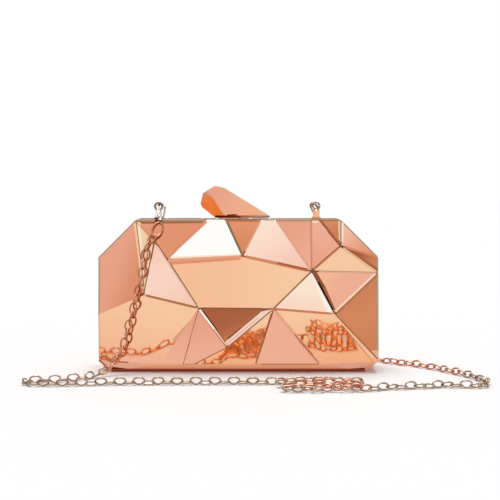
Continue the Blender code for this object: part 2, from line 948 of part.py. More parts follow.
def torus(name):
    """The strap eye's ring on edge, before it is turned to face forwards."""
    section = []
    for index in range(coarse_sides):
        angle = 2 * math.pi * index / coarse_sides
        section.append(
            (
                eye_wire_radius * math.sin(angle),
                eye_radius + eye_wire_radius * math.cos(angle),
            )
        )
    bm = bmesh.new()
    verts = [bm.verts.new((x, 0, z)) for x, z in section]
    edges = [bm.edges.new(pair) for pair in zip(verts, verts[1:] + verts[:1])]
    bmesh.ops.spin(
        bm,
        geom=verts + edges,
        axis=(1, 0, 0),
        cent=(0, 0, 0),
        angle=2 * math.pi,
        steps=fine_sides,
        use_merge=True,
    )
    bmesh.ops.recalc_face_normals(bm, faces=bm.faces)
    bmesh.ops.translate(bm, vec=(0, 0, eye_z), verts=bm.verts)
    return add(name, mesh_from(bm, name))


eye_z = post_height + eye_radius - eye_wire_radius / 2
lean = math.radians(claw_lean)
claw_down = Vector((0, -math.sin(lean), -math.cos(lean)))
claw_side = eye_radius + eye_wire_radius + claw_wire_radius + seat_gap - 0.92 * claw_half_width
hook_reach = eye_wire_radius / math.cos(lean) + claw_wire_radius + 3 * seat_gap
claw_top = Vector((claw_side, 0, eye_z)) - claw_down * hook_reach


def claw_point(across_share, down_share):
    """A point of the claw: across it, and down it from the top of its hook."""
    return (
        claw_top
        + Vector((across_share * claw_half_width, 0, 0))
        + claw_down * down_share * claw_length
    )


def claw(side, place):
    """The hook that hangs in the eye, with a collar that the chain is fixed to."""
    points = [claw_point(*shares) for shares in HOOK_SHARES]
    path, _ = smooth_path(points, claw_wire_radius)
    wire = tube(f"{side}_claw", path, claw_wire_radius, bright_metal)
    hook = as_mesh(wire, bright_metal)
    hook.matrix_world = place
    collar_top = claw_top + claw_down * (claw_length - collar_length)
    collar_end = claw_top + claw_down * claw_length
    collar = rod(f"{side}_collar", collar_top, collar_end, collar_radius)
    collar.matrix_world = place
    neck_top = claw_top + claw_down * HOOK_SHARES[0][1] * claw_length
    neck = rod(f"{side}_neck", neck_top, collar_end, claw_wire_radius, sides=coarse_sides)
    neck.matrix_world = place
    boolean(hook, neck, "UNION")
    return boolean(hook, collar, "UNION")


def claw_lever(side, place):
    """The sprung gate of the claw. Its lower end is the pivot."""
    points = [claw_point(*shares) for shares in LEVER_SHARES]
    path, _ = smooth_path(points, 1.5 * lever_radius)
    lever = as_mesh(tube(f"{side}_claw_lever", path, lever_radius, bright_metal), bright_metal)
    lever.matrix_world = place
    empty = pivot(f"{side}_claw_lever_pivot", place @ claw_point(*LEVER_SHARES[-1]))
    carry(empty, [lever])
    return lever


def strap_end(side, place):
    return [strap_post(side, place), claw(side, place)], claw_lever(side, place)


def place_at(x, y, turn):
    return Matrix.Translation((x, y, case_top)) @ Matrix.Rotation(math.radians(turn), 4, "Z")


def chain_tube(name, route):
    """The chain along its route, whose first and last stretch stay straight."""
    inner, length = smooth_path(route[1:-1], chain_step, math.radians(chain_bend))
    path = [route[0], *inner, route[-1]]
    length += (route[1] - route[0]).length + (route[-1] - route[-2]).length
    print(name, "length", round(length, 4), "m in", len(path), "points")
    return tube(name, path, chain_width / 2, bright_metal)


half_case("front")
hinge_leaf("hinge_leaf_front", 0, -1)
hinge_pin()
bracket()
clasp_pin()
clasp_spring()
strap_end("left", place_at(-post_spacing / 2, -post_y, 0))
chain_tube("chain", CHAIN_ROUTE)

gem_pivot = pivot("gem_pivot", (clasp_x, clasp_y, clasp_z))
carry(gem_pivot, [gem()])

back_pieces = half_case("back")
back_pieces.append(hinge_leaf("hinge_leaf_back", 1, 1))
back_pieces.append(catch_plate())
right_pieces, right_lever = strap_end("right", place_at(post_spacing / 2, post_y, 180 + right_eye_turn))
back_pieces += right_pieces
back_pieces.append(chain_tube("chain_back_run", BACK_ROUTE))
back_hinge = pivot("back_half_pivot", (0, 0, hinge_z))
carry(back_hinge, back_pieces)
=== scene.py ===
"""The looks of a hard evening clutch: mirror facets, a gem clasp, strap eyes and a link chain.

The CAD's own solids stay wherever their shape is right and get finishes here. The two shells and
the gem are shown by copies whose facets each have a painted reflection tone of their own, the
plates get strips of painted highlight and painted shade along their edges, and the two chain
tubes are shown as links.
"""

import math
import random

import bmesh
import bpy
from mathutils import Matrix, Vector


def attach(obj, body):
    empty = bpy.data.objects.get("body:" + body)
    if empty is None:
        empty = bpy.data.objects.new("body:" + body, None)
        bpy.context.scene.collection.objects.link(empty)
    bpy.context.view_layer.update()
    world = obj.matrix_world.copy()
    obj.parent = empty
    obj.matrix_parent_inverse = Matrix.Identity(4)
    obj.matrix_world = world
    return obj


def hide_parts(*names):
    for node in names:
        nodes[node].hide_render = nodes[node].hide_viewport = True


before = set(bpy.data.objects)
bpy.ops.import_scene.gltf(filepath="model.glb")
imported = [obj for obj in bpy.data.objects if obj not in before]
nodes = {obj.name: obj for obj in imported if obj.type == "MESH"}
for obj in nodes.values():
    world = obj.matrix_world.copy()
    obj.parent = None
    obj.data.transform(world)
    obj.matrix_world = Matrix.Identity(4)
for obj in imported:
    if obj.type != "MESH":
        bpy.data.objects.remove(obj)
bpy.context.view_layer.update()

MM = 0.001

# Rose gold as it looks when it mirrors light or dark parts of a room
TONES = {
    "white": "FFFDF9",
    "cream": "FBE4CE",
    "pale": "FAD4C2",
    "pearl": "F4C3AE",
    "melon": "F7C8A2",
    "peach": "F5BE96",
    "apricot": "F4AE82",
    "blush": "EEAE93",
    "rose": "E8A286",
    "coral": "E2936F",
    "clay": "D88A62",
    "copper": "CB7F56",
    "sienna": "B4744A",
    "umber": "AA6040",
    "bark": "8C5438",
    "deep_shade": "4C1608",
    "black_shade": "2A1810",
    "sand": "DBB391",
    "ash": "B09884",
    "tan": "9C7858",
    "straw": "EDCFA8",
    "ember": "E8762A",
    "rust": "A04A1C",
    "sage": "C9C6B4",
    "steel": "B9B7B4",
    "slate": "7A6856",
    "milk": "FBF1E4",
    "fawn": "D9A578",
    "maroon": "781C08",
    "stone": "A3917F",
    "chestnut": "9C6844",
    "taupe": "B1937B",
    "terra": "C07858",
    "glow": "E19250",
    "rosewood": "C4957A",
    "brick": "B08268",
}

# Where the folds of the front face meet, in millimetres. The back half is the same, half turned.
FOLDS = {
    "left_foot": (-91.8, -12.0, 0.0),
    "right_foot": (91.8, -12.0, 0.0),
    "right_shoulder": (100.0, -12.0, 82.5),
    "right_top": (73.0, -12.0, 109.2),
    "left_shoulder": (-100.0, -12.0, 82.5),
    "left_waist": (-100.0, -15.65, 41.71),
    "left_ankle": (-100.0, -15.21, 8.2),
    "left_top": (-73.0, -15.57, 109.2),
    "right_ankle": (100.0, -18.57, 8.2),
    "B": (-59.3, -16.86, 94.35),
    "C": (-50.5, -18.25, 81.14),
    "D": (-28.2, -22.55, 46.96),
    "E": (-66.8, -19.0, 55.91),
    "F": (3.2, -18.0, 83.76),
    "G": (-22.7, -11.91, 109.2),
    "H": (-8.8, -12.0, 109.2),
    "I": (16.1, -14.0, 109.2),
    "J": (27.0, -13.95, 109.2),
    "K": (52.2, -19.4, 73.05),
    "L": (72.8, -15.8, 90.64),
    "M": (57.3, -12.0, 109.2),
    "N": (100.0, -13.0, 71.31),
    "O": (68.4, -21.48, 42.81),
    "P": (24.9, -22.68, 46.52),
    "Q": (-7.6, -20.42, 18.89),
    "R": (100.0, -18.64, 9.28),
    "V": (52.2, -12.0, 109.2),
    "T1": (-55.7, -19.4, 6.55),
    "T2": (-39.4, -19.39, 6.55),
    "T3": (-31.5, -19.4, 6.55),
    "T4": (12.4, -19.4, 6.55),
    "T5": (57.8, -19.4, 6.55),
}

# The painted reflection on each plate: its tone from one point of it to another, both as (x, z) in
# millimetres
PLATES = {
    "left_splinter": ((-72, 108), (-61, 70), "straw", "melon"),
    "left_fin": ((-60, 92), (-36, 47), "pearl", "pale", "pale", "pearl"),
    "top_left": ((-73, 108), (-45, 88), "rose", "coral", "coral"),
    "top_centre": ((-20, 109), (-20, 82), "white", "white"),
    "top_wedge": ((3, 109), (4, 86), "coral", "clay"),
    "top_inner_right": ((22, 109), (44, 74), "cream", "pale", "pearl"),
    "top_right": ((40, 109), (53, 76), "rose", "blush"),
    "top_outer_right": ((60, 106), (55, 76), "blush", "rose"),
    "corner_wedge": ((60, 109), (73, 96), "clay", "copper"),
    "shoulder_upper": ((74, 107), (92, 87), "pearl", "blush", "coral"),
    "shoulder_lower": ((84, 84), (98, 78), "umber", "copper"),
    "right_fin": ((60, 80), (90, 76), "melon", "melon"),
    "right_inner": ((58, 71), (76, 56), "peach", "blush", "blush"),
    "right_centre": ((52, 70), (48, 45), "cream", "cream", "pale"),
    "centre": ((-40, 62), (50, 62), "peach", "melon"),
    "centre_wedge": ((-10, 46), (-2, 24), "umber", "umber", "copper"),
    "right_flank": ((84, 60), (96, 20), "copper", "clay", "copper"),
    "lower_left": ((-34, 40), (-24, 8), "rose", "blush"),
    "lower_right": ((25, 42), (38, 8), "blush", "blush"),
}

# The facets of the shell that carry no plate: their corners and the same painted reflection tones
BARE = {
    "flank_upper": (
        ("left_shoulder", "left_top", "E"), (-98, 80), (-70, 70), "rose", "rose", "clay"
    ),
    "flank_lower": (
        ("left_shoulder", "E", "left_waist"), (-98, 80), (-70, 70), "rose", "rose", "clay"
    ),
    "left_field": (
        ("left_waist", "E", "D", "T1", "left_ankle"), (-75, 48), (-84, 6), "melon", "peach", "blush"
    ),
    "pink_strip": (("D", "T2", "T1"), (-36, 40), (-42, 8), "rose", "blush"),
    "mid_field": (("Q", "P", "T4", "T3"), (10, 38), (6, 6), "melon", "peach", "apricot"),
    "right_field": (
        ("P", "O", "R", "right_ankle", "T5"), (52, 44), (66, 8), "melon", "peach", "apricot"
    ),
    "foot": (
        ("left_foot", "right_foot", "T5", "T4", "T3", "T2", "T1"),
        (0, 6),
        (0, 2),
        "apricot",
        "coral",
    ),
    "left_toe": (("left_foot", "T1", "left_ankle"), (-90, 6), (-92, 0.5), "blush", "clay"),
    "right_toe": (("right_foot", "right_ankle", "T5"), (90, 6), (92, 0.5), "blush", "clay"),
}

# The gem's facets: the same painted reflection tones
GEM = {
    "gem_front": ((-15, 122), (12, 112), "rose", "blush", "apricot"),
    "gem_end": ((-26, 122), (-12, 112), "ember", "ember"),
    "gem_top": ((-20, 130), (20, 118), "rose", "ash", "sage"),
    "gem_shaded_under": ((-15, 112), (20, 110), "maroon", "rust", "rust", "terra", "ash"),
    "gem_dome": ((-24, 124), (-12, 130), "taupe", "rose", "rose"),
}

# How far a facet's mirror leans towards +X at two places along X, and upwards at two heights,
# in millimetres and as slopes. Thin sheet isn't quite flat, and this is what it reflects. A fifth
# entry is a twist: from and to which place along X, about which height, and its slope.
LEANS = {
    "foot": ((0, 0), (1, 0), (0, 0.25), (1, 0.25)),
    "left_field": ((0, 0), (1, 0), (0, -0.026), (1, -0.026), (-70, -46, 19, -0.09)),
    "mid_field": ((-8, 0.30), (20, 0.28), (15, 0.122), (29, 0.040), (-14, -4, 18, -0.06)),
    "right_field": ((48, -0.26), (80, -0.07), (19, -0.060), (27, -0.115), (46, 64, 25, 0.03)),
    "pink_strip": ((0, 0), (1, 0), (0, 0.3), (1, 0.3)),
    "lower_left": ((0, 0), (1, 0), (0, 0.3), (1, 0.3)),
    "lower_right": ((0, 0), (1, 0), (0, 0.3), (1, 0.3)),
    "centre_wedge": ((0, 0), (1, 0), (0, 0.3), (1, 0.3)),
    "gem_end": ((0, -0.5), (1, -0.5), (0, 0.8), (1, 0.8)),
}

# Strips of painted highlight or painted shade along the folds: between which folds, on the side of
# which third fold, their near and far side at both ends and how far they stay back from the ends,
# all in millimetres
EDGES = (
    ("left_ankle", "left_waist", "E", (0.0, 0.9, 0.0, 0.9), (0, 0), "sand"),
    ("left_waist", "left_shoulder", "E", (0.0, 1.2, 0.0, 1.2), (0, 0), "ash"),
    ("left_shoulder", "left_top", "E", (0.0, 1.0, 0.0, 1.0), (0, 0), "ash"),
    ("left_top", "G", "C", (0.0, 1.1, 0.0, 1.1), (0.5, 1), "taupe"),
    ("left_top", "G", "C", (1.1, 2.3, 1.1, 2.0), (1.5, 2), "chestnut"),
    ("left_top", "G", "C", (2.3, 2.9, 2.0, 2.5), (3, 3), "sienna"),
    ("left_top", "G", "C", (0.0, 2.4, 0.0, 2.4), (14.0, 32.4), "deep_shade"),
    ("G", "H", "F", (0.0, 0.9, 0.0, 0.9), (1, 1), "white"),
    ("H", "I", "F", (0.0, 1.4, 0.0, 1.4), (1, 1), "sienna"),
    ("I", "J", "K", (0.0, 0.8, 0.0, 0.8), (1, 1), "sage"),
    ("J", "V", "K", (0.0, 1.3, 0.0, 1.3), (0.5, 0.5), "taupe"),
    ("V", "M", "L", (0.0, 0.9, 0.0, 0.9), (0.5, 0.5), "taupe"),
    ("V", "M", "L", (0.9, 2.2, 0.9, 2.2), (0.2, 0.4), "cream"),
    ("M", "right_top", "L", (0.0, 1.0, 0.0, 1.0), (0.5, 0.5), "tan"),
    ("right_top", "right_shoulder", "L", (0.0, 1.1, 0.0, 1.1), (1, 1), "ash"),
    ("right_shoulder", "N", "L", (0.0, 1.4, 0.0, 1.4), (0.5, 0.5), "ash"),
    ("N", "R", "O", (0.0, 1.5, 0.0, 1.5), (0.5, 6), "ash"),
    ("N", "R", "O", (0.0, 5.6, 0.0, 0.0), (55.3, 0.6), "sand"),
    ("left_top", "E", "left_shoulder", (-0.5, 1.4, -0.5, 1.0), (2, 5), "melon"),
    ("left_top", "E", "B", (0.4, 1.1, 0.4, 1.0), (2, 6), "chestnut"),
    ("left_top", "E", "B", (1.1, 3.6, 1.0, 1.8), (2, 10), "cream"),
    ("left_top", "B", "C", (-0.8, 0.8, -0.8, 0.8), (2, 1), "coral"),
    ("E", "B", "D", (0.3, 1.7, 0.3, 0.4), (2, 12), "cream"),
    ("B", "D", "E", (-0.3, 0.9, -0.3, 0.9), (4, 2), "pearl"),
    ("C", "F", "G", (0.4, 2.0, 0.4, 1.2), (4, 2), "cream"),
    ("C", "F", "D", (-0.5, 1.7, -0.5, 1.0), (1, 1), "rose"),
    ("C", "F", "D", (1.7, 3.8, 1.0, 2.6), (1, 1.5), "coral"),
    ("F", "K", "P", (-1.0, 1.0, -1.3, 1.1), (2, 24), "clay"),
    ("F", "K", "P", (-1.3, 0.0, -1.2, 0.3), (25, 3), "umber"),
    ("F", "K", "P", (0.0, 1.1, 0.3, 1.2), (25, 3), "copper"),
    ("H", "F", "I", (0.4, 1.3, 0.4, 1.1), (1, 2), "tan"),
    ("I", "F", "K", (-0.8, 0.1, -0.8, 0.1), (1, 4), "coral"),
    ("I", "F", "K", (0.1, 0.9, 0.1, 0.8), (1, 4), "sand"),
    ("E", "D", "B", (-0.5, 1.1, -0.5, 1.2), (1.5, 1.5), "sienna"),
    ("C", "D", "F", (0.4, 1.0, 0.4, 1.0), (2, 3), "tan"),
    ("D", "Q", "P", (-0.4, 1.3, -0.3, 1.2), (1.2, 16), "milk"),
    ("D", "Q", "P", (-0.3, 1.2, -0.2, 1.0), (18.5, 1.5), "pearl"),
    ("D", "Q", "P", (1.3, 2.2, 1.2, 2.0), (2.5, 14), "black_shade"),
    ("D", "Q", "P", (1.2, 2.0, 1.0, 1.7), (20, 4), "bark"),
    ("Q", "P", "D", (0.6, 4.2, 0.6, 4.2), (1.5, 7), "pale"),
    ("Q", "P", "D", (0.6, 4.2, 0.6, 0.7), (35.5, 0.8), "pale"),
    ("Q", "P", "D", (2.0, 2.6, 2.0, 2.5), (2, 12), "rose"),
    ("Q", "P", "D", (-0.4, 0.6, -0.4, 0.6), (2, 1.5), "tan"),
    ("Q", "P", "D", (4.2, 5.1, 4.2, 4.8), (4.5, 26), "black_shade"),
    ("Q", "P", "D", (4.2, 4.8, 4.2, 4.7), (16.5, 9), "bark"),
    ("D", "P", "Q", (-0.5, 1.2, -0.5, 1.2), (3, 8), "umber"),
    ("D", "T1", "left_ankle", (0.0, 0.3, 0.0, 2.6), (12, 20), "fawn"),
    ("Q", "T3", "T4", (-0.3, 0.5, -0.3, 0.5), (1, 1), "sienna"),
    ("K", "O", "P", (0.4, 1.6, 0.4, 4.2), (1.5, 2.5), "milk"),
    ("K", "O", "N", (-0.5, 2.6, -0.5, 3.2), (0.5, 20), "bark"),
    ("K", "O", "N", (0.9, 3.3, 0.7, 1.7), (14, 1), "umber"),
    ("K", "O", "N", (-0.5, 1.1, -0.5, 0.9), (9, 3), "black_shade"),
    ("P", "O", "K", (-0.7, 0.9, -0.7, 0.9), (2, 2.5), "copper"),
    ("N", "O", "K", (0.3, 1.9, 0.3, 1.9), (2, 1.5), "pale"),
    ("N", "O", "R", (-0.4, 1.2, -0.4, 1.2), (2, 1.5), "sienna"),
    ("O", "R", "T5", (0.3, 1.2, 0.3, 3.2), (3, 4), "melon"),
    ("O", "R", "T5", (1.2, 1.6, 3.2, 3.7), (10, 2), "sienna"),
    ("right_top", "L", "M", (-0.4, 0.4, -0.4, 0.4), (1, 2), "ash"),
    ("right_top", "L", "M", (0.4, 1.8, 0.4, 1.2), (1, 4), "pearl"),
    ("right_top", "L", "right_shoulder", (0.4, 2.0, 0.4, 1.6), (2, 3), "cream"),
    ("M", "L", "right_top", (-0.4, 1.5, -0.3, 1.2), (0.5, 2), "umber"),
    ("M", "L", "V", (0.4, 1.1, 0.4, 0.8), (1, 14), "pearl"),
    ("L", "right_shoulder", "right_top", (-0.8, 0.8, -0.8, 0.8), (3, 1), "clay"),
    ("L", "N", "K", (-0.5, 0.5, -0.5, 0.5), (2, 2), "melon"),
    ("L", "N", "right_shoulder", (0.2, 1.5, 0.6, 2.4), (1.5, 2), "umber"),
    ("K", "L", "N", (-0.5, 0.5, -0.5, 0.5), (2, 2), "copper"),
    ("K", "N", "L", (-0.4, 0.4, -0.4, 0.4), (5, 1.5), "sand"),
    ("J", "K", "V", (-0.7, 0.6, -0.7, 0.6), (1, 1), "rose"),
    ("V", "K", "J", (-0.5, 0.5, -0.5, 0.5), (1, 2), "coral"),
    ("G", "C", "B", (-0.7, 0.6, -0.7, 0.6), (1, 1), "coral"),
    ("G", "C", "F", (0.0, 2.0, 0.0, 0.4), (1, 1), "coral"),
    ("P", "T5", "O", (0.0, 1.5, 0.0, 1.5), (2, 1), "melon"),
    ("P", "T5", "T4", (-0.6, 0.6, -0.6, 0.6), (1, 1), "blush"),
    ("P", "T5", "T4", (-0.6, -0.1, -0.6, -0.1), (24, 1), "sienna"),
    ("P", "T4", "Q", (-0.5, 0.5, -0.4, 0.4), (3.5, 20), "umber"),
    ("P", "T4", "Q", (-0.4, 0.4, -0.4, 0.4), (21, 1), "sienna"),
    ("T4", "T5", "P", (-0.1, 0.6, -0.1, 0.6), (4, 0.5), "sienna"),
    ("T2", "T3", "D", (-0.1, 0.4, -0.1, 0.4), (0, 0), "coral"),
    ("left_ankle", "T1", "E", (-0.4, 0.4, -0.4, 0.4), (8, 23), "umber"),
    ("left_ankle", "left_foot", "T1", (0.0, 1.2, 0.0, 0.8), (0, 4), "bark"),
    # Painted shade: the dark lines along the bottom edge of the foot
    ("left_foot", "right_foot", "T4", (0.0, 3.4, 0.0, 3.4), (1.0, 1.0), "rust"),
    ("left_foot", "right_foot", "T4", (0.0, 2.7, 0.0, 2.7), (0.5, 0.5), "maroon"),
)

# The chain's route in the CAD, in millimetres: from the left claw down the front, then the height
# at which it lies on the ground, and there as (x, y)
HANGING = (
    (-54.94, -19.25, 108.08),
    (-54.94, -23.49, 103.84),
    (-57.0, -25.4, 100.3),
    (-60.2, -25.5, 96.9),
    (-63.2, -25.3, 93.4),
    (-65.1, -25.1, 89.5),
    (-65.9, -24.9, 83.0),
    (-67.0, -24.8, 75.5),
    (-69.2, -24.6, 65.0),
    (-72.4, -24.6, 53.0),
    (-75.8, -24.8, 41.5),
    (-78.4, -25.3, 31.5),
    (-80.6, -26.0, 22.5),
    (-83.4, -26.9, 15.5),
    (-87.2, -28.4, 9.8),
    (-91.8, -31.2, 5.6),
    (-96.8, -36.4, 3.4),
)
ON_GROUND = 3.1
LYING = (
    (-103.1, -43.5), (-111.1, -50.2), (-122.6, -54.8), (-133.2, -57.6), (-140.6, -59.2),
    (-143.9, -63.0), (-140.6, -66.8), (-130.5, -68.8), (-114.1, -68.0), (-100.5, -66.2),
    (-86.5, -64.8), (-58.3, -63.2), (-22.1, -62.6), (18.0, -62.0), (46.0, -61.4),
    (74.0, -61.6), (82.0, -62.1), (85.4, -64.9), (82.0, -67.7), (74.0, -68.2),
    (56.0, -68.2), (38.0, -68.2), (30.4, -68.7), (27.0, -71.5), (30.4, -74.3),
    (38.0, -74.8), (56.0, -74.8), (71.0, -74.8), (78.6, -75.3), (82.0, -78.1),
    (78.6, -80.9), (71.0, -81.4), (56.0, -81.4), (40.0, -81.4), (32.4, -81.9),
    (29.0, -84.7), (32.4, -87.5), (41.0, -88.0), (58.0, -88.2), (76.0, -87.8),
    (86.0, -85.4), (94.0, -82.0), (103.0, -79.4), (114.0, -77.6), (126.6, -75.0),
    (140.6, -71.8), (154.2, -75.2), (163.6, -73.2), (167.8, -66.3), (168.0, -56.8),
    (164.6, -45.3), (158.3, -33.4), (150.7, -20.3), (142.9, -8.4), (133.7, 1.9),
    (123.6, 10.6), (114.4, 17.6), (108.5, 22.64), (104.6, 27.2),
)
CHAIN_ROUTE = [Vector(point) * MM for point in HANGING]
CHAIN_ROUTE += [Vector((x, y, ON_GROUND)) * MM for x, y in LYING]

# From beside the rear corner, behind the case and up to the right claw
BACK_ROUTE = [
    Vector(point) * MM
    for point in (
        (104.39, 27.45, 3.1),
        (100.49, 32.01, 3.1),
        (95.5, 34.3, 3.1),
        (89.5, 34.0, 3.1),
        (83.5, 32.0, 3.4),
        (78.5, 29.6, 5.4),
        (73.8, 27.9, 9.8),
        (70.0, 27.2, 17.0),
        (68.0, 26.8, 28.0),
        (67.2, 26.6, 45.0),
        (66.6, 26.6, 62.0),
        (65.8, 26.4, 78.0),
        (64.6, 26.0, 90.0),
        (63.4, 25.2, 98.0),
        (61.44, 22.97, 103.83),
        (59.64, 19.12, 108.08),
    )
]

# The links, where the chain loops over the ground and lies in a heap, and how much each link
# strays from its place and its turn
LINK_LENGTH = 9.0 * MM
LINK_WIDTH = 5.9 * MM
LINK_WIRE = 1.3 * MM
RING_LINK_WIDTH = 8.4 * MM
RING_LINK_WIRE = 1.5 * MM
CHAIN_DIAMETER = 6.0 * MM
PILE_START = 18 * MM
PILE_END = 84 * MM
PILE_BACK = -58 * MM
HEAP_BACK = -66 * MM
HEAP_SPREAD = 1.4 * MM
HEAP_RISE = 1.6 * MM
HEAP_WILDNESS = 2.0
LOW_LINK_HEIGHT = 1.3 * LINK_WIRE
ROLL_JITTER = 14
YAW_JITTER = 8
WIRE_SIDES = 6
LINK_STEPS = 14

# The light, the floor and the camera, with angles in degrees. Mirrors see a share of the floor as
# plain white.
SKY_LIGHT = 0.45
SUN_LIGHT = 1.8
SUN_SPREAD = 36
SUN_TILT = (-6, -3, 0)
MIRRORED_WHITE = 0.7
FLOOR_WHITE = 0.98
FLOOR_SIZE = 6
SENSOR_WIDTH = 36
LENS = 76.66
CAMERA_PLACE = (0.0085, -0.772, 0.140)
CAMERA_DIP = 3.94

# How high the plates' faces stand over the shell, and the strips over both
PLATE_TOP = 1.3 * MM
STRIP_SINK = 0.02 * MM
STRIP_RISE = 0.05 * MM
STRIP_STEP = 0.002 * MM

# How much a shell's face has to look outwards to be a facet, and to be a side wall
FACET_FACING = 0.3
WALL_FACING = -0.15

# The finishes' bumps and grain
MIRROR_ROUGHNESS = 0.045
SMEAR_ROUGHNESS = 0.05
WAVE_HEIGHT = 0.12 * MM
GRAIN = 900
GRAIN_DEPTH = 0.02 * MM
STRIP_GRAIN = 400
STRIP_ROUGHNESS = 0.2
TWILL_DEPTH = 0.05 * MM
POST_FOOT = 109.5 * MM
POST_HEIGHT = 13 * MM

# Where the gem's painted glow at its end and its painted shade underneath begin: a point and the
# way out
GLOW_EDGE, GLOW_OUT = Vector((-18.6, 0, 125.4)) * MM, Vector((0.845, 0, 0.534))
SHADE_EDGE, SHADE_OUT = Vector((0, 0, 112.2)) * MM, Vector((0.0, 0, 1.0))
SHADE_LEFT = -16 * MM


def tone(name):
    """The tone's colour in linear light."""
    channels = []
    for index in (0, 2, 4):
        value = int(TONES[name][index : index + 2], 16) / 255
        channels.append(value / 12.92 if value <= 0.04045 else ((value + 0.055) / 1.055) ** 2.4)
    return (*channels, 1)


class Flow:
    """A socket that brings a value, on which Python's operators add Math nodes."""

    def __init__(self, finish, socket):
        self.finish = finish
        self.socket = socket

    def maths(self, operation, *values):
        return self.finish.node(
            "ShaderNodeMath", {"operation": operation}, dict(enumerate(values))
        )

    def __add__(self, other):
        return self.maths("ADD", self, other)

    def __sub__(self, other):
        return self.maths("SUBTRACT", self, other)

    def __rsub__(self, other):
        return self.maths("SUBTRACT", other, self)

    def __mul__(self, other):
        return self.maths("MULTIPLY", self, other)

    def __truediv__(self, other):
        return self.maths("DIVIDE", self, other)

    def within(self, low, high):
        """Nought below low, one above high, and smooth between."""
        return self.finish.node(
            "ShaderNodeMapRange",
            {"interpolation_type": "SMOOTHSTEP"},
            {0: self, 1: low, 2: high},
        )

    def wave(self):
        return self.maths("SINE", self)


class Finish:
    """A material with one shader, and the means to add nodes to it."""

    def __init__(self, name, sockets):
        self.material = bpy.data.materials.new(name)
        self.material.use_nodes = True
        self.tree = self.material.node_tree
        self.shader = self.tree.nodes["Principled BSDF"]
        for socket, value in sockets.items():
            self.feed(self.shader.inputs[socket], value)

    def feed(self, socket, value):
        if isinstance(value, Flow):
            self.tree.links.new(value.socket, socket)
        else:
            socket.default_value = value

    def node(self, kind, settings, inputs, out=0):
        node = self.tree.nodes.new(kind)
        for name, value in settings.items():
            if name == "stops":
                self.ramp(node.color_ramp, value)
            else:
                setattr(node, name, value)
        for key, value in inputs.items():
            self.feed(node.inputs[key], value)
        return Flow(self, node.outputs[out])

    def ramp(self, ramp, stops):
        ramp.interpolation = "B_SPLINE" if len(stops) > 2 else "EASE"
        while len(ramp.elements) < len(stops):
            ramp.elements.new(1)
        for element, (at, name) in zip(ramp.elements, stops):
            element.position = at
            element.color = tone(name)

    def place(self):
        return self.node("ShaderNodeTexCoord", {}, {}, "Object")

    def part(self, vector, axis):
        return self.node("ShaderNodeSeparateXYZ", {}, {0: vector}, axis)

    def axes(self):
        place = self.place()
        return [self.part(place, axis) for axis in "XYZ"]

    def colours(self, stops, share):
        return self.node("ShaderNodeValToRGB", {"stops": stops}, {0: share})

    def noise(self, scale, detail=2.0):
        return self.node(
            "ShaderNodeTexNoise", {}, {"Vector": self.place(), "Scale": scale, "Detail": detail}
        )

    def blend(self, share, first, second):
        return self.node(
            "ShaderNodeMix", {"data_type": "RGBA"}, {0: share, 6: first, 7: second}, 2
        )

    def dents(self, height, strength=1.0, distance=1.0):
        inputs = {"Strength": strength, "Distance": distance, "Height": height}
        self.set("Normal", self.node("ShaderNodeBump", {}, inputs))

    def show_white(self, ray, share):
        """Mirrors see plain white in place of a share of this surface."""
        seen = self.node("ShaderNodeLightPath", {}, {}, ray) * share
        white = self.node("ShaderNodeEmission", {}, {})
        mixed = self.node(
            "ShaderNodeMixShader", {}, {0: seen, 1: Flow(self, self.shader.outputs[0]), 2: white}
        )
        output = self.tree.nodes["Material Output"]
        self.tree.links.new(mixed.socket, output.inputs["Surface"])

    def set(self, socket, value):
        self.feed(self.shader.inputs[socket], value)


def leaning(at, places):
    """The height that leans a mirror by one slope up to one place and by another past the next."""
    (first, slope), (last, far_slope) = places
    first, last = first * MM, last * MM
    bent = (at - first).maths("MAXIMUM", at - first, 0.0)
    bent = bent.maths("MINIMUM", bent, last - first)
    past = at.maths("MAXIMUM", at - last, 0.0)
    change = bent * bent / (2 * (last - first)) + past
    return (at * slope + change * (far_slope - slope)) * -1.0


def mirror_finish(name, start, end, tones, half_turned, lean=None):
    """A mirror whose tone runs across its facet, with faint waves and smears."""
    finish = Finish(name, {"Metallic": 1.0})
    x, _, z = finish.axes()
    turn = -1 if half_turned else 1
    start, end = Vector(start) * MM, Vector(end) * MM
    along = (end - start) / (end - start).length_squared
    share = x * (turn * along.x) + z * along.y - start.dot(along)
    share = share + (finish.noise(18, 1.0) - 0.5) * 0.25
    stops = [(index / (len(tones) - 1), each) for index, each in enumerate(tones)]
    # Painted reflection: the base colour runs through the facet's tones across it
    finish.set("Base Color", finish.colours(stops, share))
    smears = finish.noise(55, 3.0).within(0.5, 0.75)
    finish.set("Roughness", smears * SMEAR_ROUGHNESS + MIRROR_ROUGHNESS)
    waves = finish.noise(45, 1.0) * WAVE_HEIGHT
    if lean:
        waves = waves + leaning(x * turn, lean[:2]) + leaning(z, lean[2:4])
        for first, last, height, slope in lean[4:]:
            bent = (x * turn).within(first * MM, last * MM)
            waves = waves - bent * (z - height * MM) * slope
    finish.dents(waves)
    return finish.material


def metal_finish(name, light, dark, roughness, grain=GRAIN):
    """Polished metal, a little darker where it is handled less, with fine wheel marks."""
    finish = Finish(name, {"Metallic": 1.0})
    clouds = finish.noise(120, 3.0).within(0.35, 0.7)
    finish.set("Base Color", finish.blend(clouds, tone(light), tone(dark)))
    finish.set("Roughness", finish.noise(300, 2.0) * 0.12 + roughness)
    finish.dents(finish.noise(grain, 2.0), 0.12, GRAIN_DEPTH)
    return finish.material


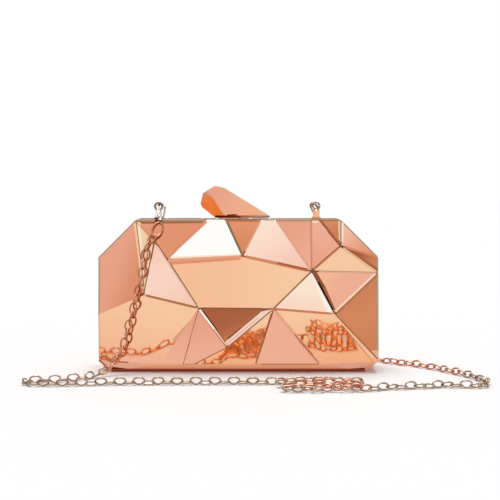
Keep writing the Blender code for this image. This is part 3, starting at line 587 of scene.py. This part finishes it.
def satin_finish(name):
    """Satin on board: a fine twill with a soft sheen."""
    finish = Finish(
        name, {"Sheen Weight": 0.4, "Sheen Roughness": 0.4, "Specular IOR Level": 0.4}
    )
    x, y, z = finish.axes()
    twill = ((x + z) * 9000).wave() * 0.5 + ((x - z + y * 0.7) * 4200).wave() * 0.25
    clouds = finish.noise(40, 3.0).within(0.3, 0.75)
    finish.set("Base Color", finish.blend(clouds, (0.62, 0.50, 0.42, 1), (0.54, 0.42, 0.34, 1)))
    finish.set("Roughness", twill * 0.08 + 0.55)
    finish.dents(twill, 0.25, TWILL_DEPTH)
    return finish.material


def rim_finish(name):
    """Brushed rim that stays dull on top, where a darker brown is painted shade, and is rose metal
    on its walls.
    """
    finish = Finish(name, {"Specular IOR Level": 0.0})
    facing = finish.node("ShaderNodeNewGeometry", {}, {}, "Normal")
    # Painted shade: faces that point up in the world get the dull brown in place of rose metal
    up = finish.part(facing, "Z").within(0.2, 0.85)
    brushed = finish.noise(700, 2.0)
    wall = finish.blend(brushed, tone("rose"), tone("clay"))
    top = finish.blend(brushed, tone("rosewood"), tone("brick"))
    finish.set("Base Color", finish.blend(up, wall, top))
    finish.set("Metallic", 1 - up * 0.7)
    finish.set("Roughness", brushed * 0.1 + 0.24)
    return finish.material


def post_finish(name, foot, barrel, ring):
    """The turned post, with a painted reflection tone for its foot, one for its barrel and one for
    its ring.
    """
    finish = Finish(name, {"Metallic": 1.0})
    _, _, z = finish.axes()
    height = (z - POST_FOOT) / POST_HEIGHT
    stops = [(0.0, foot), (0.1, foot), (0.16, barrel), (0.48, barrel), (0.56, ring), (1.0, ring)]
    finish.set("Base Color", finish.colours(stops, height))
    finish.set("Roughness", finish.noise(300, 2.0) * 0.1 + 0.14)
    finish.dents(finish.noise(GRAIN, 2.0), 0.1, GRAIN_DEPTH)
    return finish.material


def chain_finish():
    """Fine wire with painted shade underneath and a painted highlight on top, redder in the pile,
    at the left and where y is over -30 mm, and painted orange low on its +Y side for the mirrors to
    show.
    """
    finish = Finish("chain_metal", {"Metallic": 1.0})
    x, y, z = finish.axes()
    facing = finish.node("ShaderNodeTexCoord", {}, {}, "Normal")
    # Painted shade and painted highlight: the wire's tone runs from dark on faces that point down
    # to light on faces that point up
    up = finish.part(facing, "Z") * 0.5 + 0.5
    plain = finish.colours([(0.1, "slate"), (0.5, "stone"), (0.95, "ash")], up)
    red = finish.colours([(0.15, "rust"), (0.5, "terra"), (0.9, "blush")], up)
    pile = (
        x.within(20 * MM, 44 * MM)
        * (1 - x.within(76 * MM, 92 * MM))
        * (1 - y.within(-72 * MM, -65 * MM))
        * y.within(-91 * MM, -85 * MM)
    )
    left_loop = (1 - x.within(-120 * MM, -90 * MM)) * y.within(-70 * MM, -44 * MM)
    share = pile + y.within(-40 * MM, -30 * MM) + left_loop * 0.3
    clouds = finish.noise(90, 2.0).within(0.3, 0.7)
    wire = finish.blend(share * (clouds * 0.4 + 0.6), plain, red)
    wire = finish.blend(z.within(96 * MM, 104 * MM) * 0.7, wire, tone("sienna"))
    # Painted reflection: low wire whose faces point towards +Y is painted an orange glow, which the
    # mirror facets show
    painted_glow_side = finish.part(facing, "Y").within(0.1, 0.6)
    low = 1 - z.within(8 * MM, 20 * MM)
    finish.set("Base Color", finish.blend(painted_glow_side * low, wire, tone("glow")))
    finish.set("Roughness", clouds * 0.1 + 0.2)
    finish.dents(finish.noise(GRAIN, 2.0), 0.1, GRAIN_DEPTH)
    return finish.material


def dress(name, material):
    """Puts the finish into every slot of a CAD node."""
    for slot in nodes[name].material_slots:
        slot.material = material


def new_piece(name, bm, materials, body):
    """An object of the mesh that moves with the body."""
    mesh = bpy.data.meshes.new(name)
    bm.to_mesh(mesh)
    bm.free()
    for material in materials:
        mesh.materials.append(material)
    obj = bpy.data.objects.new(name, mesh)
    bpy.context.scene.collection.objects.link(obj)
    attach(obj, body)
    return obj


def merged_copy(node, angle=0.5):
    """The node's solid with its doubles merged and its flat faces whole."""
    bm = bmesh.new()
    bm.from_mesh(nodes[node].data)
    bmesh.ops.remove_doubles(bm, verts=bm.verts, dist=0.001 * MM)
    bmesh.ops.dissolve_limit(
        bm,
        angle_limit=math.radians(angle),
        verts=bm.verts,
        edges=bm.edges,
        delimit={"NORMAL"},
    )
    return bm


def fold_place(name, half_turned):
    """Where the fold is on the front half or, half turned, on the back half."""
    x, y, z = FOLDS[name]
    turn = -1 if half_turned else 1
    return Vector((turn * x, turn * y, z)) * MM


seam_metal = metal_finish("seam_metal", "tan", "bark", 0.3)
rim_metal = rim_finish("rim_metal")
inner_metal = metal_finish("inner_metal", "clay", "copper", 0.35)
hinge_metal = metal_finish("hinge_metal", "straw", "peach", 0.2)
steel_metal = metal_finish("steel_metal", "steel", "steel", 0.25)
claw_metal = metal_finish("claw_metal", "ash", "stone", 0.18)
chain_metal = chain_finish()
satin = satin_finish("satin")
# The left post has painted shade at its foot and a painted highlight on its barrel
post_metals = {
    "left": post_finish("left_post_metal", "deep_shade", "milk", "slate"),
    "right": post_finish("right_post_metal", "apricot", "peach", "stone"),
}
strip_tones = list(dict.fromkeys(edge[-1] for edge in EDGES))
strip_metals = [
    metal_finish(f"edge_{each}", each, each, STRIP_ROUGHNESS, STRIP_GRAIN) for each in strip_tones
]


def inside(x, z, places):
    """Whether the point lies within the outline, seen from the front."""
    hits = 0
    for start, end in zip(places, places[1:] + places[:1]):
        if (start.z > z) != (end.z > z):
            share = (z - start.z) / (end.z - start.z)
            hits += x < start.x + share * (end.x - start.x)
    return hits % 2 == 1


def dress_shell(side, half_turned):
    """The shell with a painted reflection tone on each facet that carries no plate."""
    bm = merged_copy(f"{side}_shell", 0.02)
    turn = -1 if half_turned else 1
    materials = [seam_metal, rim_metal, inner_metal]
    outlines = []
    for name, (corners, start, end, *tones) in BARE.items():
        finish = mirror_finish(f"{side}_{name}", start, end, tones, half_turned, LEANS.get(name))
        materials.append(finish)
        outlines.append([fold_place(corner, half_turned) for corner in corners])
    for face in bm.faces:
        outward = -turn * face.normal.y
        at = face.calc_center_median()
        if outward > FACET_FACING:
            inner = [inside(at.x, at.z, places) for places in outlines]
            face.material_index = 3 + inner.index(True) if any(inner) else 0
        elif outward > WALL_FACING:
            face.material_index = 1
        else:
            face.material_index = 2
    obj = new_piece(f"{side}_shell_skin", bm, materials, f"{side}_half")
    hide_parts(f"{side}_shell")


def dress_plates(side, half_turned):
    """The mirror plates, which keep their own solids."""
    for name, (start, end, *tones) in PLATES.items():
        node = f"{side}_mirror_{name}"
        dress(node, mirror_finish(node, start, end, tones, half_turned, LEANS.get(name)))


def add_strip(bm, edge, half_turned, rise):
    """A thin strip on a facet along one of its folds, with a painted highlight or painted shade
    like a ground edge's.
    """
    from_name, to_name, towards, sides, backs, _ = edge
    start, end, third = (fold_place(each, half_turned) for each in (from_name, to_name, towards))
    along = (end - start).normalized()
    across = third - start
    across = (across - along * across.dot(along)).normalized()
    out = along.cross(across)
    if out.y * (-1 if half_turned else 1) > 0:
        out = -out
    bare = any({from_name, to_name, towards} <= set(corners) for corners, *_ in BARE.values())
    level = 0 if bare else PLATE_TOP
    first = start + along * backs[0] * MM
    last = end - along * backs[1] * MM
    near_first, far_first, near_last, far_last = (across * each * MM for each in sides)
    corners = [first + near_first, last + near_last, last + far_last, first + far_first]
    low = [bm.verts.new(corner + out * (level - STRIP_SINK)) for corner in corners]
    high = [bm.verts.new(corner + out * (level + rise)) for corner in corners]
    faces = [bm.faces.new(low[::-1]), bm.faces.new(high)]
    for index in range(4):
        after = (index + 1) % 4
        faces.append(bm.faces.new((low[index], low[after], high[after], high[index])))
    return faces


def edge_strips(side, half_turned):
    """All strips of one half in one piece, each a little higher than the one before it."""
    bm = bmesh.new()
    for number, edge in enumerate(EDGES):
        for face in add_strip(bm, edge, half_turned, STRIP_RISE + number * STRIP_STEP):
            face.material_index = strip_tones.index(edge[-1])
    bmesh.ops.recalc_face_normals(bm, faces=bm.faces)
    new_piece(f"{side}_edge_strips", bm, strip_metals, f"{side}_half")


for side, half_turned in (("front", False), ("back", True)):
    dress_shell(side, half_turned)
    dress_plates(side, half_turned)
    edge_strips(side, half_turned)
    dress(f"{side}_frame", rim_metal)
    dress(f"{side}_lining", satin)
    dress(f"hinge_leaf_{side}", hinge_metal)


def dress_gem():
    """The gem with a painted reflection tone on each facet: a painted glow at its left end, a
    grey-green top, a pink front and painted shade underneath.
    """
    bm = merged_copy("clasp_gem")
    for place, normal in ((GLOW_EDGE, GLOW_OUT), (SHADE_EDGE, SHADE_OUT)):
        whole = bm.verts[:] + bm.edges[:] + bm.faces[:]
        bmesh.ops.bisect_plane(bm, geom=whole, plane_co=place, plane_no=normal)
    materials = [
        mirror_finish(name, start, end, tones, False, LEANS.get(name))
        for name, (start, end, *tones) in GEM.items()
    ]
    for face in bm.faces:
        rise, at = face.normal.z, face.calc_center_median()
        facet = "gem_front"
        # Painted shade on faces that point down and on the band below the shade edge; a painted
        # glow at the left end
        if rise < -0.75 or (at.z < SHADE_EDGE.z and at.x > SHADE_LEFT):
            facet = "gem_shaded_under"
        elif (at - GLOW_EDGE).dot(GLOW_OUT) < 0:
            facet = "gem_dome" if rise > 0.45 else "gem_end"
        elif rise > 0.75:
            facet = "gem_top"
        face.material_index = list(GEM).index(facet)
    obj = new_piece("gem_facets", bm, materials, "gem")
    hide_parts("clasp_gem")


dress_gem()
dress("clasp_bracket", hinge_metal)
dress("catch_plate", hinge_metal)
for name in ("hinge_pin", "clasp_pin", "clasp_spring"):
    dress(name, steel_metal)
for side in ("left", "right"):
    dress(f"{side}_strap_post", post_metals[side])
    dress(f"{side}_claw", claw_metal)
    dress(f"{side}_claw_lever", claw_metal)


def smooth_path(route, step):
    """Points about one step apart on a smooth curve through the route."""
    padded = [2 * route[0] - route[1], *route, 2 * route[-1] - route[-2]]
    fine = []
    slices = 16
    for before, start, end, after in zip(padded, padded[1:], padded[2:], padded[3:]):
        for index in range(slices):
            t = index / slices
            fine.append(
                0.5
                * (
                    2 * start
                    + (end - before) * t
                    + (2 * before - 5 * start + 4 * end - after) * t**2
                    + (3 * start - before - 3 * end + after) * t**3
                )
            )
    fine.append(route[-1])
    travelled = [0]
    for start, end in zip(fine, fine[1:]):
        travelled.append(travelled[-1] + (end - start).length)
    count = round(travelled[-1] / step) + 1
    path = []
    at = 0
    for index in range(count):
        wanted = travelled[-1] * index / (count - 1)
        while at < len(fine) - 2 and travelled[at + 1] < wanted:
            at += 1
        span = travelled[at + 1] - travelled[at]
        path.append(fine[at].lerp(fine[at + 1], (wanted - travelled[at]) / span))
    return path, travelled[-1]


def link_mesh(length=LINK_LENGTH, width=LINK_WIDTH, wire=LINK_WIRE):
    """One oval link that lies along X, with its hole along Z."""
    bm = bmesh.new()
    middle = (width - wire) / 2
    made = bmesh.ops.create_circle(bm, segments=WIRE_SIDES, radius=wire / 2)
    upright = Matrix.Rotation(math.pi / 2, 3, "X")
    bmesh.ops.rotate(bm, matrix=upright, verts=made["verts"])
    bmesh.ops.translate(bm, vec=(middle, 0, 0), verts=made["verts"])
    bmesh.ops.spin(
        bm,
        geom=bm.verts[:] + bm.edges[:],
        axis=(0, 0, 1),
        cent=(0, 0, 0),
        angle=2 * math.pi,
        steps=LINK_STEPS,
        use_merge=True,
    )
    stretch = (length - width) / 2
    for vert in bm.verts:
        vert.co.x += stretch * vert.co.x / vert.co.xy.length
    bmesh.ops.recalc_face_normals(bm, faces=bm.faces)
    for face in bm.faces:
        face.smooth = True
    mesh = bpy.data.meshes.new("link_shape")
    bm.to_mesh(mesh)
    bm.free()
    return mesh


def chain_of_links(name, route, turns, body, node, ring_turn=None):
    """The chain's links along the route, each turned from the one before it.

    turns gives the first link's roll and the turn from link to link, outside the loops and in
    them. With ring_turn the first link is wider and keeps that roll.
    """
    pitch = LINK_LENGTH - 2 * LINK_WIRE
    places, length = smooth_path(route, pitch)
    shape = link_mesh()
    spans = list(zip(places, places[1:]))
    bm = bmesh.new()
    roll = turns[0]
    if ring_turn is not None:
        spans[:2] = [(places[0].lerp(places[1], 0.2), places[2])]
        span = (spans[0][1] - spans[0][0]).length + 2 * RING_LINK_WIRE
        ring = link_mesh(span, RING_LINK_WIDTH, RING_LINK_WIRE)
    for number, (start, end) in enumerate(spans):
        before = len(bm.verts)
        first = ring_turn is not None and number == 0
        bm.from_mesh(ring if first else shape)
        bm.verts.ensure_lookup_table()
        fresh = bm.verts[before:]
        along = (end - start).normalized()
        middle = (start + end) / 2
        looped = middle.x > PILE_START and middle.y < PILE_BACK
        heaped = looped and middle.x < PILE_END and middle.y < HEAP_BACK
        wild = HEAP_WILDNESS if heaped else 1.0
        roll += turns[2] if looped else turns[1]
        lean = math.radians(roll + turns_random.uniform(-ROLL_JITTER, ROLL_JITTER) * wild)
        yaw = math.radians(turns_random.uniform(-YAW_JITTER, YAW_JITTER) * wild)
        if first:
            lean, yaw = math.radians(ring_turn), 0.0
        if heaped:
            middle.y += turns_random.uniform(-HEAP_SPREAD, HEAP_SPREAD)
            middle.z += turns_random.uniform(0, HEAP_RISE)
        if middle.z < CHAIN_DIAMETER:
            half = (LINK_WIDTH - LINK_WIRE) / 2 * abs(math.sin(lean)) + LINK_WIRE / 2
            middle.z += max(half, LOW_LINK_HEIGHT) - CHAIN_DIAMETER / 2
        turn = along.to_track_quat("X", "Z").to_matrix().to_4x4()
        sway = Matrix.Rotation(yaw, 4, "Z") @ Matrix.Rotation(lean, 4, "X")
        bmesh.ops.transform(bm, matrix=Matrix.Translation(middle) @ turn @ sway, verts=fresh)
    obj = new_piece(name, bm, [chain_metal], body)
    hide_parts(node)
    path, _ = smooth_path(route, 3 * MM)


turns_random = random.Random(11)
chain_of_links(
    "chain_links",
    CHAIN_ROUTE,
    (100, 90, 60),
    "front_half",
    "chain",
    ring_turn=-45,
)
chain_of_links(
    "chain_back_links",
    BACK_ROUTE[::-1],
    (20, 90, 90),
    "back_half",
    "chain_back_run",
)


def make_floor():
    """White paper that keeps the shadow and that mirrors see nearly white."""
    finish = Finish("floor_paper", {"Roughness": 0.9, "Specular IOR Level": 0.0})
    finish.set("Base Color", (FLOOR_WHITE, FLOOR_WHITE, FLOOR_WHITE, 1))
    finish.show_white("Is Glossy Ray", MIRRORED_WHITE)
    bm = bmesh.new()
    bmesh.ops.create_grid(bm, x_segments=1, y_segments=1, size=FLOOR_SIZE)
    mesh = bpy.data.meshes.new("floor")
    bm.to_mesh(mesh)
    bm.free()
    mesh.materials.append(finish.material)
    floor = bpy.data.objects.new("floor", mesh)
    bpy.context.scene.collection.objects.link(floor)


def make_world():
    """A white room that lights the object at a share of its brightness."""
    world = bpy.data.worlds.new("studio")
    world.use_nodes = True
    background = world.node_tree.nodes["Background"]
    background.inputs["Color"].default_value = (1, 1, 1, 1)
    rays = world.node_tree.nodes.new("ShaderNodeLightPath")
    seen = world.node_tree.nodes.new("ShaderNodeMath")
    seen.operation = "MAXIMUM"
    strength = world.node_tree.nodes.new("ShaderNodeMapRange")
    strength.inputs["To Min"].default_value = SKY_LIGHT
    join = world.node_tree.links.new
    join(rays.outputs["Is Camera Ray"], seen.inputs[0])
    join(rays.outputs["Is Glossy Ray"], seen.inputs[1])
    join(seen.outputs[0], strength.inputs["Value"])
    join(strength.outputs[0], background.inputs["Strength"])
    bpy.context.scene.world = world


def add_sun():
    """One wide soft light from above."""
    lamp = bpy.data.lights.new("sky", "SUN")
    lamp.energy = SUN_LIGHT
    lamp.angle = math.radians(SUN_SPREAD)
    obj = bpy.data.objects.new("sky", lamp)
    obj.rotation_euler = [math.radians(each) for each in SUN_TILT]
    bpy.context.scene.collection.objects.link(obj)


def make_camera():
    camera = bpy.data.cameras.new("camera")
    camera.sensor_width = SENSOR_WIDTH
    camera.lens = LENS
    camera.clip_start = 0.01
    obj = bpy.data.objects.new("camera", camera)
    obj.location = CAMERA_PLACE
    obj.rotation_euler = (math.radians(90 - CAMERA_DIP), 0, 0)
    bpy.context.scene.collection.objects.link(obj)
    bpy.context.scene.camera = obj


make_floor()
make_world()
add_sun()
make_camera()
bpy.context.scene.view_settings.view_transform = "Standard"
